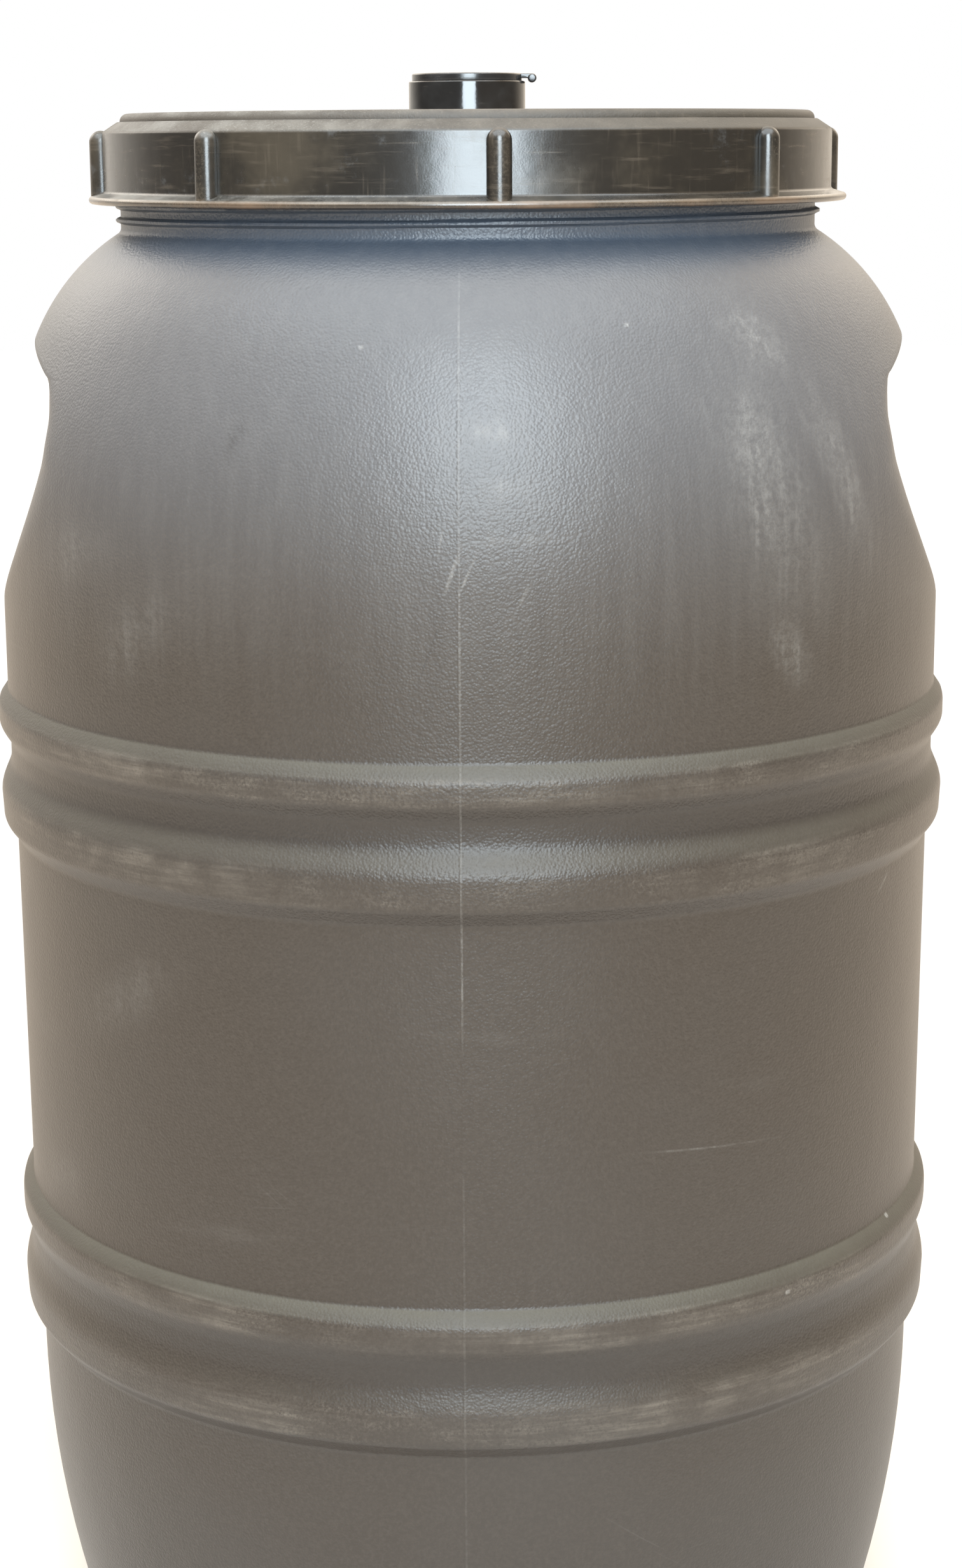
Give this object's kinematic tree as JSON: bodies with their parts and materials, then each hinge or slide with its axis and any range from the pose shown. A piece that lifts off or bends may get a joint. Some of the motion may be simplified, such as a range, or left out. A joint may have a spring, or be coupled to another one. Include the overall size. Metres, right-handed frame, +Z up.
{
  "type": "plastic chemical drum",
  "caption": "Wide-neck plastic drum with rolling hoops and hand grips, closed by a ribbed screw lid with a plugged bung socket.",
  "frame": {"origin": "centre of the base, on the plane the drum stands on", "axes": "+Z up along the drum's axis, +X through the middle of one hand grip, the mould's parting line at +Y and -Y"},
  "size_m": [0.5833, 0.5834, 1.0025],
  "materials": {
    "drum_hdpe": "fine leather grain, matt, scuffed",
    "lid_black": "semi-gloss, handled",
    "socket_gloss": "gloss",
    "plug_gloss": "gloss",
    "rubber_seal": "matt"
  },
  "bodies": {
    "drum": {"drum_shell": "drum_hdpe"},
    "seal": {"lid_gasket": "rubber_seal"},
    "lid": {"screw_lid": "lid_black", "bung_socket": "socket_gloss", "bung_gasket": "rubber_seal", "bung_locknut": "socket_gloss"},
    "plug": {"bung_plug": "plug_gloss", "plug_o_ring": "rubber_seal"}
  },
  "joints": [
    {"name": "lid_lift", "type": "slide", "parent": "drum", "child": "seal", "axis": [0, 0, 1], "range_m": [0, 0.028]},
    {"name": "lid_turn", "type": "hinge", "parent": "seal", "child": "lid", "pos_m": [0, 0, 0.95], "axis": [0, 0, 1], "range_deg": [0, 1260]},
    {"name": "plug_pull", "type": "slide", "parent": "lid", "child": "plug", "axis": [0, 0, 1], "range_m": [0, 0.03]}
  ],
  "couplings": [
    {"joint": "lid_lift", "follows": "lid_turn", "m_per_rad": 0.0012732}
  ]
}
